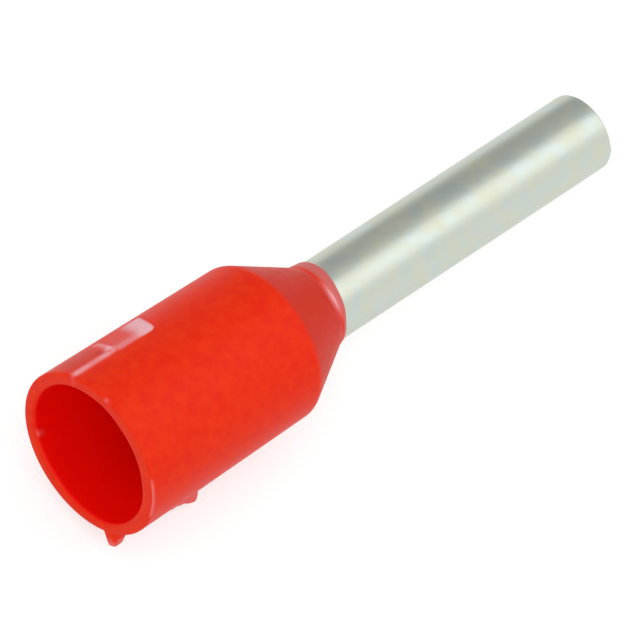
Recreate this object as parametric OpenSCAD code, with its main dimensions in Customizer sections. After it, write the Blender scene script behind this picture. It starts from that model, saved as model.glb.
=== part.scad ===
// Insulated wire ferrule for 1.0 mm2 stranded wire: a moulded plastic collar on a tinned copper tube.
// The tube's flared rear end sits in the collar's funnel and leads the strands of a wire into the tube.
// The ferrule was taken off a strip of joined collars, which left a torn stub of web on one side of
// the collar and a cut on the other side.
// It lies as a loose one comes to rest: on the collar's shoulder and the tube's tip, rolled over until
// the stub of web reaches the surface and stops it.
// Lengths are in millimetres. Each piece is drawn along its own axis, from the mouth at 0 to the tip,
// and lay_down() turns that axis to +X and puts the ferrule on the plane z = 0.

/* [Collar] */
// Outer diameter at the mouth
collar_d = 3.6; // [3.5:0.05:4.2]
// Outer diameter at the shoulder, where the cone begins
shoulder_d = 3.44; // [3.3:0.02:3.5]
// Length of the barrel from the mouth to the shoulder
barrel_l = 4.72; // [4:0.04:6]
// Length of the cone from the shoulder to the neck
cone_l = 1.42; // [1.1:0.02:2]
// Length of the neck's thin lip beyond the cone, along the axis
neck_l = 0.3; // [0.2:0.02:0.6]
// Wall of the neck where the cone ends
neck_wall = 0.08; // [0.06:0.01:0.15]
// Wall of the neck at the lip's end
lip_wall = 0.05; // [0.03:0.01:0.06]
// Slant of the lip's end from square
lip_slant = 6.5; // [0:0.5:10]
// Rounding of the shoulder
shoulder_round = 0.3; // [0.1:0.05:0.5]

/* [Entry] */
// Diameter of the bore that takes the wire's insulation
bore_d = 2.94; // [2.6:0.02:3]
// Distance before the shoulder at which the bore turns into the funnel
funnel_set = 0.32; // [0.1:0.02:0.6]
// Length of the grip round the tube, from the funnel to the lip's end
throat_l = 0.66; // [0.5:0.02:1]
// Rounding of the mouth's inner edge
mouth_round = 0.1; // [0.05:0.01:0.12]
// Rounding of the mouth's outer edge
rim_round = 0.05; // [0.02:0.01:0.08]

/* [Tube] */
// Bore of the tube, for the bare strands
tube_bore_d = 1.4; // [1:0.05:1.6]
// Wall of the tube
tube_wall = 0.15; // [0.1:0.01:0.2]
// Length of tube that stands out of the neck
pin_l = 7.56; // [5:0.1:12]
// Length of the flared rear end, along the axis
flare_l = 0.6; // [0.3:0.05:0.8]
// Radius of the bend into the flare, on the inside of the tube
bend_r = 0.4; // [0.2:0.05:0.8]
// Rounding of the tube's cut edges
edge_round = 0.04; // [0.01:0.01:0.04]

/* [Web] */
// Length of the web along the barrel, from the mouth
web_l = 2.4; // [1.6:0.1:3.4]
// Thickness of the web where it was torn
web_t = 0.16; // [0.1:0.02:0.3]
// How far each side of the web spreads towards its root
web_draft = 0.05; // [0:0.01:0.1]
// Height of the torn stub at the mouth
stub_h = 0.32; // [0.2:0.02:0.36]
// Height of the torn stub at its far corner
stub_peak_h = 0.53; // [0.46:0.01:0.6]
// Height of the rib that the cutter left on the other side
rib_h = 0.03; // [0.01:0.01:0.08]
// Width of the flat that the cutter scraped beside the rib
flat_w = 0.64; // [0.4:0.04:0.8]
// Length of that flat, back from the web's far end
flat_l = 1.2; // [0.8:0.1:1.5]

/* [Fit] */
// Clearance between the collar and the tube that it grips
seat_gap = 0.01; // [0.01:0.01:0.03]
// Clearance between the stub of web and the surface below
rest_gap = 0.02; // [0.01:0.01:0.05]

/* [Hidden] */
$fn = 96;
arc_steps = 6; // straight steps in each rounded corner
lip_turn = 146; // the lip's longest side, round the axis from the stub of web
spare = 1; // how far cutters run past what they cut

collar_r = collar_d / 2;
shoulder_r = shoulder_d / 2;
bore_r = bore_d / 2;
tube_bore_r = tube_bore_d / 2;
tube_r = tube_bore_r + tube_wall;
throat_r = tube_r + seat_gap;
neck_r = throat_r + neck_wall;
lip_r = throat_r + lip_wall;

neck_at = barrel_l + cone_l;
lip_at = neck_at + neck_l;
tip_at = lip_at + pin_l;
lip_spare = lip_r * tan(lip_slant) + neck_l / 2;

// The funnel runs from the bore to the throat. Its half angle also sets the tube's flare.
funnel_from = barrel_l - funnel_set;
funnel_to = lip_at - throat_l;
funnel_a = atan2(bore_r - throat_r, funnel_to - funnel_from);
miter = tan(funnel_a / 2);

// ---- Profiles: lists of [radius, place along the axis, rounding of that corner] ----

function unit(v) = v / norm(v);
function flat_point(v) = [v[0], v[1]];

// Centre of an arc of radius q that rounds corner c between its neighbours p and n
function arc_centre(p, c, n, q) =
    let (u = unit(p - c), v = unit(n - c), half = acos(u * v) / 2)
    c + unit(u + v) * q / sin(half);

// The points of that arc, from the side of p to the side of n
function arc_points(p, c, n, q) =
    let (
        u = unit(p - c),
        v = unit(n - c),
        half = acos(u * v) / 2,
        m = arc_centre(p, c, n, q),
        s = unit(c + u * q / tan(half) - m),
        e = unit(c + v * q / tan(half) - m),
        sweep = 180 - 2 * half
    )
    [for (i = [0:arc_steps])
        let (w = i * sweep / arc_steps)
        m + q * (sin(sweep - w) * s + sin(w) * e) / sin(sweep)];

// A closed outline with its corners rounded as they ask
function rounded(corners) =
    let (count = len(corners))
    [for (i = [0:count - 1])
        let (
            c = flat_point(corners[i]),
            p = flat_point(corners[(i + count - 1) % count]),
            n = flat_point(corners[(i + 1) % count]),
            q = corners[i][2]
        )
        each q > 0 ? arc_points(p, c, n, q) : [c]];

collar_corners = [
    [bore_r, 0, mouth_round],
    [collar_r, 0, rim_round],
    [shoulder_r, barrel_l, shoulder_round],
    [neck_r, neck_at, neck_wall],
    [lip_r, lip_at + lip_spare, 0],
    [throat_r, lip_at + lip_spare, 0],
    [throat_r, funnel_to, 0],
    [bore_r, funnel_from, shoulder_round],
];

// Corners of the tube at its flare: the bend and the rim, each outside and inside
bend_out = [tube_r, funnel_to - seat_gap * miter];
bend_in = bend_out - tube_wall * [1, miter];
rim_out = bend_out + flare_l * [tan(funnel_a), -1];
rim_in = rim_out - tube_wall * [cos(funnel_a), sin(funnel_a)];

tube_corners = [
    [tube_bore_r, tip_at, edge_round],
    [tube_r, tip_at, edge_round],
    [bend_out[0], bend_out[1], 0],
    [rim_out[0], rim_out[1], edge_round],
    [rim_in[0], rim_in[1], edge_round],
    [bend_in[0], bend_in[1], bend_r],
];

// ---- The web, as heights above the barrel at shares of the web's length ----

function barrel_r(at) = collar_r + (shoulder_r - collar_r) * at / barrel_l;
web_root_r = (bore_r + shoulder_r) / 2;
stub_peak = [0.91, 0.95]; // where the stub's highest stretch begins and ends
torn_edge = [
    [0, stub_h],
    [0.2, stub_h],
    [0.62, (stub_h + stub_peak_h) / 2],
    [0.82, (stub_h + stub_peak_h) / 2],
    [stub_peak[0], stub_peak_h],
    [stub_peak[1], stub_peak_h],
    [1, stub_h],
];
cut_edge = [[0, rib_h], [1, rib_h]];

// ---- The resting pose ----

// The surface touches the round of the shoulder and the round of the tip.
shoulder_c = arc_centre([collar_r, 0], [shoulder_r, barrel_l], [neck_r, neck_at], shoulder_round);
tip_c = [tube_r - edge_round, tip_at - edge_round];
span = tip_c - shoulder_c;
tilt = atan2(-span[0], span[1]) + asin((shoulder_round - edge_round) / norm(span));
lift = shoulder_c[1] * sin(tilt) + shoulder_c[0] * cos(tilt) + shoulder_round;

// The far end of the stub's highest stretch is its lowest point. It stops the roll at the surface.
stub_peak_at = stub_peak[1] * web_l;
stub_peak_r = barrel_r(stub_peak_at) + stub_peak_h;
surface_drop = (lift - rest_gap - stub_peak_at * sin(tilt)) / cos(tilt);
stub_corner = [stub_peak_r, web_t / 2];
stub_turn = atan2(stub_corner[1], stub_corner[0]) + acos(min(1, surface_drop / norm(stub_corner)));

// The middle of the ferrule's length, from its mouth's low edge to its tip's high edge
half_reach = (tip_at * cos(tilt) + (tube_r - collar_r) * sin(tilt)) / 2;

module lay_down() {
    translate([-half_reach, 0, lift])
        rotate([0, 90 + tilt, 0])
            rotate([0, 0, -stub_turn])
                children();
}

// ---- The pieces ----

// A blade of web at the stub's place, with the given top edge
module web_blade(top) {
    outline = concat(
        [[web_root_r, 0]],
        [for (t = top) [barrel_r(t[0] * web_l) + t[1], t[0] * web_l]],
        [[web_root_r, web_l]]
    );
    tip_r = max([for (p = outline) p[0]]);
    root_t = web_t / 2 + web_draft;
    section = [[web_root_r, -root_t], [tip_r, -web_t / 2], [tip_r, web_t / 2], [web_root_r, root_t]];
    intersection() {
        rotate([90, 0, 0])
            linear_extrude(height = 2 * root_t + spare, center = true)
                polygon(outline);
        linear_extrude(height = web_l)
            polygon(section);
    }
}

// The cutter's flat beside the rib, as the piece that it takes away
module scraped_flat() {
    mid_r = barrel_r(web_l - flat_l / 2);
    half_a = asin(flat_w / 2 / mid_r);
    rotate([0, 0, 180 - half_a])
        translate([mid_r * cos(half_a), -flat_w, web_l - flat_l])
            cube([spare, 2 * flat_w, flat_l]);
}

// What lies past the slanted end of the lip
module past_lip() {
    rotate([0, 0, lip_turn])
        translate([0, 0, lip_at])
            rotate([0, -lip_slant, 0])
                translate([-collar_d, -collar_d, 0])
                    cube([2 * collar_d, 2 * collar_d, lip_spare + collar_d]);
}

module insulating_collar() {
    color([0.86, 0.13, 0.05])
        lay_down()
            union() {
                difference() {
                    rotate_extrude()
                        polygon(rounded(collar_corners));
                    scraped_flat();
                    past_lip();
                }
                web_blade(torn_edge);
                rotate([0, 0, 180])
                    web_blade(cut_edge);
            }
}

module crimp_tube() {
    color([0.78, 0.8, 0.79])
        lay_down()
            rotate_extrude()
                polygon(rounded(tube_corners));
}

insulating_collar();
crimp_tube();
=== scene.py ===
# %% [markdown]
# # An insulated wire ferrule
# A ferrule keeps the strands of a wire together in a terminal. It has two pieces: a red moulded
# collar, which takes the wire's insulation, and a tinned copper tube, which is crimped on the strands.
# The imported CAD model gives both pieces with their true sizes, but with coarse facets. Here each one
# gets a finer skin of the same shape, with its rounded edges, its moulding marks and its finish.

import math

import bpy
import numpy as np
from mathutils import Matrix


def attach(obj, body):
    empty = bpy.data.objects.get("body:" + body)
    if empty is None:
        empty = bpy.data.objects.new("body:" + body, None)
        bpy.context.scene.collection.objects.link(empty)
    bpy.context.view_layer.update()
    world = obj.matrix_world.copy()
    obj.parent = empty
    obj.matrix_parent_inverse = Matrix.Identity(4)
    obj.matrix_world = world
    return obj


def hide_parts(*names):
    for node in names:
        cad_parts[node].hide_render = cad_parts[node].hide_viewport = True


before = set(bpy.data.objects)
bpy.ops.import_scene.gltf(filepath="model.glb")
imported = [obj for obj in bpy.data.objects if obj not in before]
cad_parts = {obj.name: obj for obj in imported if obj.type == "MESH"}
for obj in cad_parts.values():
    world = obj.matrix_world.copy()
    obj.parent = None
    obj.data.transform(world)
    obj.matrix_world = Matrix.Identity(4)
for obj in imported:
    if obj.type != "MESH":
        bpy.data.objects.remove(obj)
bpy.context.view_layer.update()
print("pieces:", sorted(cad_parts))

# %% [markdown]
# ## The ferrule's own axis
# Both pieces are round, so they are easiest to describe by three numbers: the place along the axis
# from the mouth, the distance from the axis, and the angle round it. The ferrule lies on its collar's
# shoulder and its tube's tip, so its axis dips a little towards the tip. One function turns the three
# numbers into a place in the model. Angles start at the torn stub of web that stops the roll.

# %% Places on the ferrule, in millimetres
MM = 0.001
TIP_AT = 14.0
DIP = math.radians(5.34821)
LIFT = 2.14766
HALF_REACH = 6.92525
STUB_TURN = 34.96954


def place(along, radius, angle):
    """Points in the model, in metres, from places along and round the ferrule."""
    turn = np.radians(STUB_TURN + angle)
    rise = -radius * np.cos(turn)
    x = -HALF_REACH + along * math.cos(DIP) + rise * math.sin(DIP)
    y = -radius * np.sin(turn)
    z = LIFT - along * math.sin(DIP) + rise * math.cos(DIP)
    return np.stack([x, y, z], axis=-1) * MM


print("tip's middle:", place(TIP_AT, 0.0, 0.0).round(6))

# %% [markdown]
# ## Outlines that turn into skins
# A turned skin could come from Blender's Screw modifier. Here the mesh is made as a grid instead: one
# row for each point of the outline and one column for each angle. Every point can then be moved by a
# rule, so torn plastic, a slanted lip and an uneven mouth grow out of one closed skin.

# %% Helpers for outlines


def fillet(before, corner, after, radius, steps=8):
    """Points of a round of that radius at a corner between two straight runs."""
    p, c, n = (np.array(v, float) for v in (before, corner, after))
    u = (p - c) / np.linalg.norm(p - c)
    v = (n - c) / np.linalg.norm(n - c)
    half = math.acos(float(np.clip(u @ v, -1, 1))) / 2
    middle = c + (u + v) / np.linalg.norm(u + v) * radius / math.sin(half)
    start = c + u * radius / math.tan(half) - middle
    end = c + v * radius / math.tan(half) - middle
    sweep = math.pi - 2 * half
    turns = np.linspace(0, sweep, steps + 1)
    return [middle + (math.sin(sweep - w) * start + math.sin(w) * end) / math.sin(sweep) for w in turns]


def outline(corners, step):
    """A closed outline of [radius, along, round] corners, with no run longer than its step."""
    points = []
    count = len(corners)
    for i, corner in enumerate(corners):
        before, after = corners[i - 1], corners[(i + 1) % count]
        points += fillet(before[:2], corner[:2], after[:2], corner[2])
    fine = []
    for a, b in zip(points, points[1:] + points[:1]):
        length = np.linalg.norm(b - a)
        cuts = max(1, math.ceil(length / step((a + b) / 2)))
        fine += [a + (b - a) * k / cuts for k in range(cuts)]
    return np.array(fine)


def soft(x, low, high):
    """0 below low, 1 above high, and a smooth rise between."""
    t = np.clip((x - low) / (high - low), 0, 1)
    return t * t * (3 - 2 * t)


def band(x, low, high, edge):
    """1 between low and high, fading to 0 over an edge outside them."""
    return soft(x, low - edge, low) * (1 - soft(x, high, high + edge))


def spot(x, middle, width):
    """1 at the middle, fading smoothly to 0 either side of it."""
    return np.exp(-(((x - middle) / width) ** 2))


# %% A closed skin from a grid of points


def closed_skin(name, points, masks):
    """A mesh from points[row, column], closed both ways, with named masks from 0 to 1."""
    rows, columns = points.shape[:2]
    index = np.arange(rows * columns).reshape(rows, columns)
    down, right = np.roll(index, -1, 0), np.roll(index, -1, 1)
    across = np.roll(down, -1, 1)
    faces = np.stack([index, right, across, down], axis=-1).reshape(-1, 4)
    mesh = bpy.data.meshes.new(name)
    mesh.from_pydata(points.reshape(-1, 3).tolist(), [], faces.tolist())
    for mask_name, values in masks.items():
        mask = mesh.attributes.new(mask_name, "FLOAT", "POINT")
        mask.data.foreach_set("value", np.ascontiguousarray(values, dtype=np.float32).ravel())
    mesh.shade_smooth()
    mesh.update()
    skin = bpy.data.objects.new(name, mesh)
    bpy.context.scene.collection.objects.link(skin)
    print(name, "faces:", len(mesh.polygons))
    return skin


def signed_volume(points):
    """The volume inside a grid skin in cubic metres, below zero if its faces look inward."""
    p, q = points, np.roll(points, -1, 1)
    r, s = np.roll(q, -1, 0), np.roll(points, -1, 0)
    first = np.einsum("ijk,ijk->", p, np.cross(q, r))
    second = np.einsum("ijk,ijk->", p, np.cross(r, s))
    return (first + second) / 6


# %% [markdown]
# ## The collar's outline
# The collar is moulded nylon: a barrel for the insulation, a cone, and a thin neck that grips the
# tube. Inside, a funnel leads the strands into the tube. The rows lie closer along the barrel's first
# part, where the web of a strip of collars was torn off one side and cut off the other.

# %% Collar outline
MOUTH_R = 1.7985
SHOULDER_R = 1.72
SHOULDER_AT = 4.72
BORE_R = 1.47
THROAT_R = 0.86
NECK_AT = 6.14
LIP_AT = 6.44
FUNNEL_TO = 5.78
FUNNEL_FROM = 4.4
LIP_SPARE = 0.08
WALL_MIDDLE_R = 1.6  # parts the inside of the barrel's wall from its outside
WEB_SPAN = 2.5  # the rows are fine up to here

collar_corners = [
    (BORE_R, 0.0, 0.1),
    (MOUTH_R, 0.0, 0.05),
    (SHOULDER_R, SHOULDER_AT, 0.3),
    (THROAT_R + 0.078, NECK_AT, 0.1),
    (THROAT_R + 0.036, LIP_AT + LIP_SPARE, 0.015),
    (THROAT_R, LIP_AT + LIP_SPARE, 0.015),
    (THROAT_R, FUNNEL_TO, 0.05),
    (BORE_R, FUNNEL_FROM, 0.3),
]


def collar_step(middle):
    """The longest run allowed near a point of the collar's outline."""
    radius, along = middle
    if radius > WALL_MIDDLE_R and along < WEB_SPAN:
        return 0.025 if 1.05 < along < 1.35 or along > 2.1 else 0.055
    return 0.16


collar_line = outline(collar_corners, collar_step)
print("collar rows:", len(collar_line))

# %% [markdown]
# The columns lie closest across the stub of torn web, which is only 0.16 mm thick, and close together
# across the cut on the other side.

# %% Collar columns
collar_angles = np.concatenate([
    np.arange(-7.0, 7.0, 0.32),
    np.arange(7.0, 150.0, 2.2),
    np.arange(150.0, 173.0, 0.8),
    np.arange(173.0, 206.0, 0.5),
    np.arange(206.0, 353.0, 2.2),
])
along = np.repeat(collar_line[:, 1:2], len(collar_angles), axis=1)
radius = np.repeat(collar_line[:, 0:1], len(collar_angles), axis=1)
angle = np.repeat(collar_angles[None, :], len(collar_line), axis=0)
from_cut = angle - 180.0
print("collar columns:", len(collar_angles))

# %% [markdown]
# ## The torn stub of web
# Ferrules like this come on a strip, joined by a thin web. Pulled off, the web tears and leaves a
# ragged fin. It is raised here straight out of the barrel: its height follows the tear along the
# barrel, and its sides lean out a little towards the root.

# %% Raise the stub
STUB_END = 2.42
STUB_TOP = 0.53
BARREL_R = 1.8
STUB_ASIDE = 0.035  # how far the stub's middle lies to one side
FLANK_W = 0.05  # how far each side spreads towards the root
tear_at = [0.0, 0.12, 0.25, 0.42, 1.0, 1.5, 1.75, 1.95, 2.06, 2.18, 2.27, 2.34, 2.39, STUB_END]
tear_high = [0.32, 0.325, 0.31, 0.22, 0.26, 0.34, 0.385, 0.42, 0.47, 0.525, 0.515, 0.42, 0.2, 0.0]
outside = (radius > WALL_MIDDLE_R) & (along < 3.0)
depth_in_wall = soft(radius, WALL_MIDDLE_R, 1.78)
ragged = 0.008 * np.sin(along * 13.0) + 0.004 * np.sin(along * 31.0 + 1.3)
tear = np.clip(np.interp(along, tear_at, tear_high) + ragged * (along > 0.1), 0, STUB_TOP)
tear = tear * (along < STUB_END)
sideways = np.radians(angle) * BARREL_R
half_thick = 0.056 + 0.01 * np.sin(along * 7.0)
flank = np.clip((half_thick + FLANK_W - np.abs(sideways - STUB_ASIDE)) / FLANK_W, 0, 1)
stub = np.where(outside, tear * flank * depth_in_wall, 0.0)
radius = radius + stub
print("stub stands proud by", round(float(stub.max()), 3), "mm")

# %% [markdown]
# ## The cut on the other side
# There the web was cut. The blade left a fine rib from the mouth to about the middle of the web, then
# dug in, left a small knuckle, and scraped a narrow flat. Bent or scraped nylon turns pale, so a mask
# keeps where the plastic was worked. The material reads the mask later.

# %% Scrape the flat and raise the rib
FLAT_FROM = 1.2
FLAT_W = 22.0  # degrees round the collar
FLAT_EDGE_R = 1.772
MM_PER_DEGREE = 0.0314  # round the barrel
flat_half = math.radians(FLAT_W / 2)
off_middle = np.radians(np.clip(from_cut - FLAT_W / 2, -40, 40))
flat_plane = FLAT_EDGE_R * math.cos(flat_half) / np.cos(off_middle)
far_end = np.interp(from_cut, [-6.0, -3.0, 18.0], [2.08, 2.2, 2.42])
on_flat = outside & (along > FLAT_FROM) & (along < far_end) & (from_cut > -1) & (from_cut < FLAT_W + 1)
radius = np.where(on_flat, np.minimum(radius, flat_plane), radius)

rib = band(along, 0.05, 1.16, 0.05) * spot(from_cut * MM_PER_DEGREE, 0.0, 0.05) * 0.028
knuckle = spot(along, 1.19, 0.06) * band(from_cut, -1.0, 15.0, 3.0) * 0.022
nick = spot(along, 1.04, 0.07) * spot(from_cut, 4.5, 2.6) * 0.035
radius = radius + np.where(outside, (rib + knuckle - nick) * depth_in_wall, 0.0)
print("points on the flat:", int(on_flat.sum()))

# %% [markdown]
# ## An uneven mouth and a slanted lip
# A thin moulded tube is never quite round. The wall is thinnest at the stub and thickest about a
# quarter turn round from it, and the neck's lip was trimmed a little askew. A crumb of plastic stands
# on the rim's outer edge and another on its inner edge.

# %% Shape the mouth and the lip
rim_turn = [-180, -150, -120, -90, -30, -20, 0, 15, 30, 40, 60, 80, 100, 125, 150, 160, 170, 180]
mouth_r = [1.48, 1.50, 1.516, 1.524, 1.516, 1.54, 1.565, 1.58, 1.565, 1.54, 1.49, 1.468, 1.43,
           1.44, 1.446, 1.472, 1.484, 1.48]
RIM_TURN_AT_STUB = 20.5
OUTER_EDGE_R = 1.74
BULGE_END = 1.6  # how far the uneven mouth reaches into the bore
mouth_turn = (angle + RIM_TURN_AT_STUB + 180.0) % 360.0 - 180.0
bulge = np.interp(mouth_turn, rim_turn, mouth_r) - BORE_R
inside = (radius < WALL_MIDDLE_R) & (along < 4.0)
reach = np.where(along < BULGE_END, 1 - soft(along, 0.1, BULGE_END), 0.0)
at_rim = (along < 0.12) & (radius < 1.7)
radius = radius + np.where(inside | at_rim, bulge * reach * (1 - soft(radius, 1.52, OUTER_EDGE_R)), 0.0)

lip_turn = [0, 34, 82, 103, 126, 156, 181, 214, 300, 360]
lip_reach = [6.30, 6.28, 6.28, 6.34, 6.38, 6.46, 6.48, 6.50, 6.38, 6.30]
lip_end = np.interp(angle % 360.0, lip_turn, lip_reach)
LIP_FROM = 0.02  # past the neck, where the lip begins to follow its uneven end
lip = np.clip((along - NECK_AT - LIP_FROM) / (LIP_AT + LIP_SPARE - NECK_AT - LIP_FROM), 0, 1)
along = along + (lip_end - LIP_AT - LIP_SPARE) * lip

crumb = spot(mouth_turn, 168.0, 1.6) * spot(along, 0.0, 0.05)
along = along - np.where(radius > OUTER_EDGE_R, crumb * 0.004, 0.0)
inner_crumb = spot(mouth_turn, -70.0, 2.4) * spot(along, 0.05, 0.07)
radius = radius - np.where(inside, inner_crumb * 0.045, 0.0)
print("mouth, smallest and largest inner radius:", min(mouth_r), max(mouth_r))

# %% [markdown]
# ## Where the plastic was worked, and where highlights and shade are painted
# Each mask is a number from 0 to 1 at every point of the collar. Pale is scraped or bent plastic, and
# it also holds painted highlights on the rim's outer edge and the neck's edge. Dusky and deep are the
# darker places beside the scraped plastic, within is the inside, thin is the lip, and cone is painted
# shade that darkens the cone. Places along the axis are in millimetres, and places round it are in
# degrees.

# %% Masks of the worked plastic, with painted highlights and painted shade
streak = band(along, 0.12, 1.0, 0.15) * spot(from_cut, -1.8, 2.0) * (0.72 - 0.2 * spot(along, 0.6, 0.2))
slanted = along - 0.006 * from_cut
before_far_end = 1 - soft(along, far_end - 0.05, far_end + 0.01)
patch = band(from_cut, -3.5, 20.0, 2.5) * soft(along, 1.16, 1.26) * before_far_end
patch_tone = 0.1 + 0.88 * soft(slanted, 1.68, 2.05) + 0.35 * spot(from_cut, -2.0, 4.5)
knuckle_pale = spot(slanted, 1.13, 0.09) * band(from_cut, -2.0, 20.0, 3.0) * 0.62
white_spot = spot(along, 1.15, 0.1) * spot(from_cut, 3.0, 4.2)
# Painted highlight: a pale line along part of the rim's outer edge, where the light catches it.
rim_edge_painted_highlight = band(mouth_turn, 79.0, 105.0, 5.0) * spot(along, 0.0, 0.04) * (radius > 1.76) * 0.3
# Painted highlight: a pale band on the neck's edge, where the light catches it.
neck_shine = spot(along, NECK_AT + 0.02, 0.045) * spot(angle, 121.0, 17.0) * 0.9
neck_shine = neck_shine * (radius > THROAT_R + 0.03)
crumbs = np.where(radius > OUTER_EDGE_R, crumb, 0.0) + np.where(radius < 1.53, inner_crumb, 0.0)
pale_and_painted_highlight = np.where(outside, np.maximum.reduce([streak, patch * patch_tone, knuckle_pale, white_spot]), 0)
# The two painted highlights are added to the pale of the worked plastic.
pale_and_painted_highlight = np.clip(pale_and_painted_highlight + rim_edge_painted_highlight + neck_shine + np.where(along < 0.2, crumbs * 0.22, 0), 0, 1)
pale_and_painted_highlight = np.clip(pale_and_painted_highlight + 0.25 * (stub > 0.24), 0, 1)
dusky = np.where(outside, band(from_cut, 9.0, 20.0, 12.0) * band(along, 0.3, 0.85, 0.28) * 0.55, 0.0)
deep = np.where(outside, spot(along, 0.95, 0.09) * spot(from_cut, 4.5, 2.6), 0.0)
within = ((radius < 1.62) & (along > 0.03) & (along < LIP_AT)).astype(float)
within_end = np.interp(radius, [0.87, 1.45, 1.62], [LIP_AT - 0.3, 4.75, 4.75])
within = within * (along < within_end)
thin = soft(along, NECK_AT + 0.02, NECK_AT + 0.1) * (radius > THROAT_R - 0.01) * 0.9
# Painted shade: the cone's outer face gets a darker red.
in_cone_wall = np.interp(along, [SHOULDER_AT, NECK_AT], [1.55, 0.9])
cone = band(along, SHOULDER_AT + 0.06, NECK_AT - 0.04, 0.05) * (radius > in_cone_wall)
print("worked plastic, share of points:", round(float((pale_and_painted_highlight > 0.2).mean()), 3))

# %% Make the collar
collar_points = place(along, radius, angle)
if signed_volume(collar_points) < 0:
    collar_points = collar_points[::-1]
    pale_and_painted_highlight, dusky, deep, thin, within, cone = (m[::-1] for m in (pale_and_painted_highlight, dusky, deep, thin, within, cone))
collar_masks = {"pale_and_painted_highlight": pale_and_painted_highlight, "dusky": dusky, "deep": deep, "thin": thin, "within": within, "cone": cone}
collar = closed_skin("moulded_collar", collar_points, collar_masks)
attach(collar, "root")
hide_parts("insulating_collar")
print("collar volume, mm3:", round(signed_volume(collar_points) * 1e9, 2))

# %% [markdown]
# ## The tube
# The tube is thin copper, drawn, cut to length and tinned. Its rear end is flared into the collar's
# funnel, and the tin leaves every edge softly rounded. The saw left a tiny burr at one place of the
# tip. The rows are closest at the rounded edges, where the light shows the shape.

# %% Make the tube
TUBE_R = 0.85
TUBE_BORE_R = 0.7
WALL = TUBE_R - TUBE_BORE_R
FLARE_L = 0.6
SEAT_GAP = 0.01
TUBE_STEP = 0.15
BURR = 0.02
funnel_a = math.atan2(BORE_R - THROAT_R, FUNNEL_TO - FUNNEL_FROM)
miter = math.tan(funnel_a / 2)
bend_out = (TUBE_R, FUNNEL_TO - SEAT_GAP * miter)
bend_in = (TUBE_BORE_R, bend_out[1] - WALL * miter)
rim_out = (TUBE_R + FLARE_L * math.tan(funnel_a), bend_out[1] - FLARE_L)
rim_in = (rim_out[0] - WALL * math.cos(funnel_a), rim_out[1] - WALL * math.sin(funnel_a))
tube_corners = [
    (TUBE_BORE_R, TIP_AT, 0.045),
    (TUBE_R - 0.0005, TIP_AT, 0.06),
    (*bend_out, 0.02),
    (*rim_out, 0.04),
    (*rim_in, 0.04),
    (*bend_in, 0.4),
]
tube_line = outline(tube_corners, lambda middle: TUBE_STEP)
tube_angles = np.arange(0.0, 360.0, 1.25)
tube_along = np.repeat(tube_line[:, 1:2], len(tube_angles), axis=1)
tube_radius = np.repeat(tube_line[:, 0:1], len(tube_angles), axis=1)
tube_angle = np.repeat(tube_angles[None, :], len(tube_line), axis=0)
burr = spot(tube_angle, 75.0, 5.0) * soft(tube_along, TIP_AT - 0.1, TIP_AT)
tube_along = tube_along + burr * BURR
tube_points = place(tube_along, tube_radius, tube_angle)
if signed_volume(tube_points) < 0:
    tube_points = tube_points[::-1]
tube = closed_skin("tinned_tube", tube_points, {})
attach(tube, "root")
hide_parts("crimp_tube")
print("tube volume, mm3:", round(signed_volume(tube_points) * 1e9, 2))

# %% [markdown]
# ## A grain that both finishes share
# Moulded nylon and dull tin both vary in patches a few hundredths of a millimetre to a few tenths
# across. A node group with its own inputs gives that variation once, as a mask and a height, and each
# material places it with its own sizes.

# %% The grain group


def grain_group():
    """A node group that puts out a patchy mask and a fine height from object coordinates."""
    group = bpy.data.node_groups.new("Surface grain", "ShaderNodeTree")
    for name, kind in (("Vector", "NodeSocketVector"), ("Patch Scale", "NodeSocketFloat"),
                       ("Grain Scale", "NodeSocketFloat")):
        group.interface.new_socket(name=name, in_out="INPUT", socket_type=kind)
    for name in ("Patches", "Grain"):
        group.interface.new_socket(name=name, in_out="OUTPUT", socket_type="NodeSocketFloat")
    entry = group.nodes.new("NodeGroupInput")
    leave = group.nodes.new("NodeGroupOutput")
    for scale, out, detail in (("Patch Scale", "Patches", 3.0), ("Grain Scale", "Grain", 2.0)):
        noise = group.nodes.new("ShaderNodeTexNoise")
        noise.inputs["Detail"].default_value = detail
        noise.inputs["Roughness"].default_value = 0.55
        group.links.new(entry.outputs["Vector"], noise.inputs["Vector"])
        group.links.new(entry.outputs[scale], noise.inputs["Scale"])
        group.links.new(noise.outputs["Fac"], leave.inputs[out])
    return group


surface_grain = grain_group()
print("group outputs:", [s.name for s in surface_grain.interface.items_tree if s.in_out == "OUTPUT"])

# %% Helpers for materials


def linear(red, green, blue):
    """A display colour, 0 to 255, as the linear colour that a shader takes."""
    parts = [v / 255 for v in (red, green, blue)]
    return tuple(v / 12.92 if v <= 0.04045 else ((v + 0.055) / 1.055) ** 2.4 for v in parts) + (1.0,)


def new_finish(name, patch_scale, grain_scale, bump_height):
    """A material with its shader, the shared grain, and a bump from the fine grain."""
    finish = bpy.data.materials.new(name)
    finish.use_nodes = True
    tree = finish.node_tree
    shader = tree.nodes["Principled BSDF"]
    where = tree.nodes.new("ShaderNodeTexCoord")
    grain = tree.nodes.new("ShaderNodeGroup")
    grain.node_tree = surface_grain
    grain.inputs["Patch Scale"].default_value = patch_scale
    grain.inputs["Grain Scale"].default_value = grain_scale
    tree.links.new(where.outputs["Object"], grain.inputs["Vector"])
    bump = tree.nodes.new("ShaderNodeBump")
    bump.inputs["Strength"].default_value = 1.0
    bump.inputs["Distance"].default_value = bump_height
    tree.links.new(grain.outputs["Grain"], bump.inputs["Height"])
    tree.links.new(bump.outputs["Normal"], shader.inputs["Normal"])
    return finish, tree, shader, grain


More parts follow.
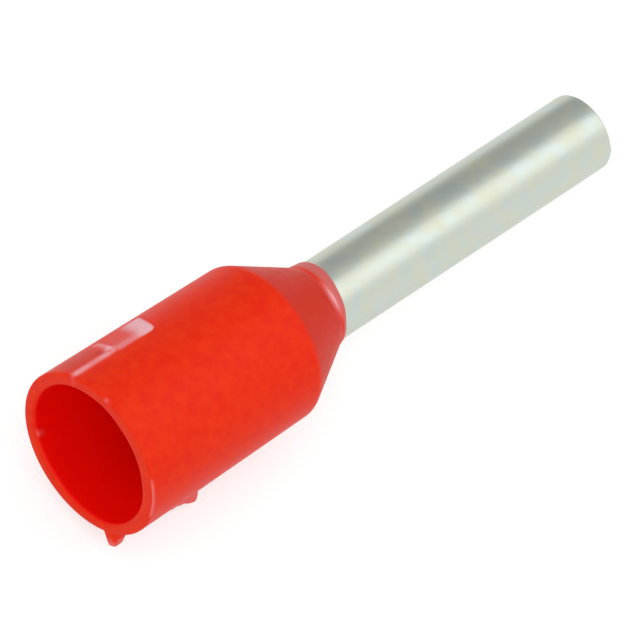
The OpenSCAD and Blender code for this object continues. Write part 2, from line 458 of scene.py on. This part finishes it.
def blend_colour(tree, factor, under, over):
    """A Mix node from one colour or socket to another, by a factor socket."""
    mix = tree.nodes.new("ShaderNodeMix")
    mix.data_type = "RGBA"
    tree.links.new(factor, mix.inputs["Factor"])
    for socket, value in ((mix.inputs["A"], under), (mix.inputs["B"], over)):
        if isinstance(value, tuple):
            socket.default_value = value
        else:
            tree.links.new(value, socket)
    return mix.outputs["Result"]


def remap(tree, value, low, high, to_low, to_high):
    """A Map Range node: low..high of a socket becomes to_low..to_high."""
    node = tree.nodes.new("ShaderNodeMapRange")
    tree.links.new(value, node.inputs["Value"])
    for name, number in (("From Min", low), ("From Max", high), ("To Min", to_low), ("To Max", to_high)):
        node.inputs[name].default_value = number
    return node.outputs["Result"]


# %% [markdown]
# ## Red nylon
# Coloured nylon is slightly see-through, so a little light goes in and comes out nearby. Its skin is
# satin with a fine mottle. Where it was scraped or bent it is pink-white, in the nick it is deeper
# red, and the neck's thin lip lets the pale tube show through as dusky pink.
# The same pink-white is also painted on as highlights along the rim's outer edge and the neck's edge,
# and the cone is painted a darker red as shade.

# %% The collar's finish
nylon, tree, shader, grain = new_finish(
    "Red nylon", patch_scale=4200.0, grain_scale=11000.0, bump_height=0.000003)
mottle = remap(tree, grain.outputs["Patches"], 0.35, 0.65, 0.0, 1.0)
colour = blend_colour(tree, mottle, linear(241, 37, 0), linear(246, 51, 2))
# The cone's darker red is painted shade, and the pink-white also paints highlights on the rim's outer
# edge and the neck's edge.
for mask_name, tint in (("within", linear(255, 8, 0)), ("cone", linear(219, 40, 10)),
                        ("dusky", linear(216, 66, 58)), ("deep", linear(205, 14, 24)),
                        ("thin", linear(222, 112, 108)), ("pale_and_painted_highlight", linear(255, 190, 197))):
    mask = tree.nodes.new("ShaderNodeAttribute")
    mask.attribute_name = mask_name
    colour = blend_colour(tree, mask.outputs["Fac"], colour, tint)
tree.links.new(colour, shader.inputs["Base Color"])
gloss = remap(tree, grain.outputs["Patches"], 0.3, 0.7, 0.40, 0.50)
tree.links.new(gloss, shader.inputs["Roughness"])
shader.inputs["IOR"].default_value = 1.5
shader.inputs["Specular IOR Level"].default_value = 0.14
shader.inputs["Subsurface Weight"].default_value = 0.15
shader.inputs["Subsurface Radius"].default_value = (1.0, 0.2, 0.1)
shader.inputs["Subsurface Scale"].default_value = 0.00025
collar.data.materials.append(nylon)
print("nylon nodes:", len(tree.nodes))

# %% [markdown]
# ## Tin plate
# Electroplated tin is a soft, pale grey metal with a dull sheen. A high roughness spreads the
# reflections along the tube, and faint warm patches break them up.

# %% The tube's finish
tin, tree, shader, grain = new_finish(
    "Tin plate", patch_scale=2300.0, grain_scale=9000.0, bump_height=0.000003)
patches = remap(tree, grain.outputs["Patches"], 0.35, 0.65, 0.0, 1.0)
colour = blend_colour(tree, patches, linear(196, 206, 201), linear(205, 208, 190))
tree.links.new(colour, shader.inputs["Base Color"])
dullness = remap(tree, grain.outputs["Patches"], 0.3, 0.7, 0.33, 0.43)
tree.links.new(dullness, shader.inputs["Roughness"])
shader.inputs["Metallic"].default_value = 1.0
tube.data.materials.append(tin)
print("tin nodes:", len(tree.nodes))

# %% [markdown]
# ## Floor and light
# The ferrule lies on a floor of plain white paint. The floor has a little glow that only the camera and
# mirrors see, and the camera sees slightly more of it, so that the floor reads as clean white and the
# shadow stays faint.

# %% Helpers for the stage


def painted_square(name, half_side, paint_name, grey):
    """A square sheet about the origin with plain dull paint, and the paint's nodes."""
    mesh = bpy.data.meshes.new(name)
    corners = [(x * half_side, y * half_side, 0.0) for x, y in ((-1, -1), (1, -1), (1, 1), (-1, 1))]
    mesh.from_pydata(corners, [], [(0, 1, 2, 3)])
    sheet = bpy.data.objects.new(name, mesh)
    bpy.context.scene.collection.objects.link(sheet)
    paint = bpy.data.materials.new(paint_name)
    paint.use_nodes = True
    shader = paint.node_tree.nodes["Principled BSDF"]
    shader.inputs["Base Color"].default_value = (grey, grey, grey, 1.0)
    shader.inputs["Roughness"].default_value = 1.0
    mesh.materials.append(paint)
    return sheet, paint.node_tree, shader


def combine(tree, operation, first, second):
    """A Math node on two sockets."""
    node = tree.nodes.new("ShaderNodeMath")
    node.operation = operation
    tree.links.new(first, node.inputs[0])
    tree.links.new(second, node.inputs[1])
    return node.outputs[0]


def seen_rays(tree):
    """1 for rays from the camera, from mirrors and through glass, and 0 for others."""
    rays = tree.nodes.new("ShaderNodeLightPath").outputs
    mirrored = combine(tree, "MAXIMUM", rays["Is Camera Ray"], rays["Is Glossy Ray"])
    return combine(tree, "MAXIMUM", mirrored, rays["Is Transmission Ray"])


# %% The floor
HALF_FLOOR = 0.6
FLOOR_GREY = 0.62
FLOOR_GLOW = 0.5
CAMERA_GLOW = 0.09  # what the camera sees on top of it
floor, tree, shader = painted_square("floor", HALF_FLOOR, "White paint", FLOOR_GREY)
shader.inputs["Specular IOR Level"].default_value = 0.0
shader.inputs["Emission Color"].default_value = (1.0, 1.0, 1.0, 1.0)
glow = remap(tree, seen_rays(tree), 0.0, 1.0, 0.0, FLOOR_GLOW)
rays = tree.nodes.new("ShaderNodeLightPath")
direct = remap(tree, rays.outputs["Is Camera Ray"], 0.0, 1.0, 0.0, CAMERA_GLOW)
tree.links.new(combine(tree, "ADD", glow, direct), shader.inputs["Emission Strength"])
print("floor side, m:", 2 * HALF_FLOOR)

# %% [markdown]
# The room is evenly white. Two broad soft lamps, one at the side and one before the mouth, give the
# round forms their shading.

# %% The room's light and the lamps
world = bpy.data.worlds.new("white room")
bpy.context.scene.world = world
world.use_nodes = True
tree = world.node_tree
backdrop = tree.nodes["Background"]
backdrop.inputs["Color"].default_value = (1.0, 1.0, 1.0, 1.0)
ROOM_LIGHT, ROOM_SEEN = 0.86, 1.0
room = remap(tree, seen_rays(tree), 0.0, 1.0, ROOM_LIGHT, ROOM_SEEN)
tree.links.new(room, backdrop.inputs["Strength"])

for lamp_name, size, watts, where in (("side lamp", 0.15, 0.034, (0.124, -0.058, 0.146)),
                                      ("front lamp", 0.18, 0.055, (-0.17, -0.09, 0.11))):
    lamp_data = bpy.data.lights.new(lamp_name, "AREA")
    lamp_data.shape = "DISK"
    lamp_data.size = size
    lamp_data.energy = watts
    lamp = bpy.data.objects.new(lamp_name, lamp_data)
    bpy.context.scene.collection.objects.link(lamp)
    lamp.location = where
    lamp.rotation_euler = (-lamp.location).to_track_quat("-Z", "Y").to_euler()
    print(lamp_name, "W:", watts)

# %% [markdown]
# A bright metal shows whatever stands round it, and in an all-white room it looks like paper. A grey
# card behind the tube gives it one darker side, as in a product studio. Only mirrors need to see the
# card, so the camera never does.

# %% The grey card
HALF_CARD = 0.15
CARD_GREY = 0.72
card, tree, shader = painted_square("grey card", HALF_CARD, "Grey card", CARD_GREY)
card.location = (0.150, 0.150, 0.090)
card.rotation_euler = (-card.location).to_track_quat("Z", "Y").to_euler()
card.visible_camera = False
print("card side, m:", 2 * HALF_CARD)

# %% [markdown]
# ## The camera
# A long lens from about 20 cm away sees the mouth, the whole tube and the torn side at once, and is
# rolled so that the ferrule runs up the picture from its lower left.

# %% Place the camera
camera_data = bpy.data.cameras.new("camera")
camera_data.sensor_width = 36.0
camera_data.lens = 562.5
camera_data.clip_start = 0.001
camera = bpy.data.objects.new("camera", camera_data)
bpy.context.scene.collection.objects.link(camera)
camera.location = (-0.09388966, -0.05700892, 0.16707324)
camera.rotation_euler = [math.radians(a) for a in (31.98343, -10.06975, -43.01048)]
bpy.context.scene.camera = camera
bpy.context.scene.view_settings.view_transform = "Standard"
print("camera at", tuple(round(v, 4) for v in camera.location))
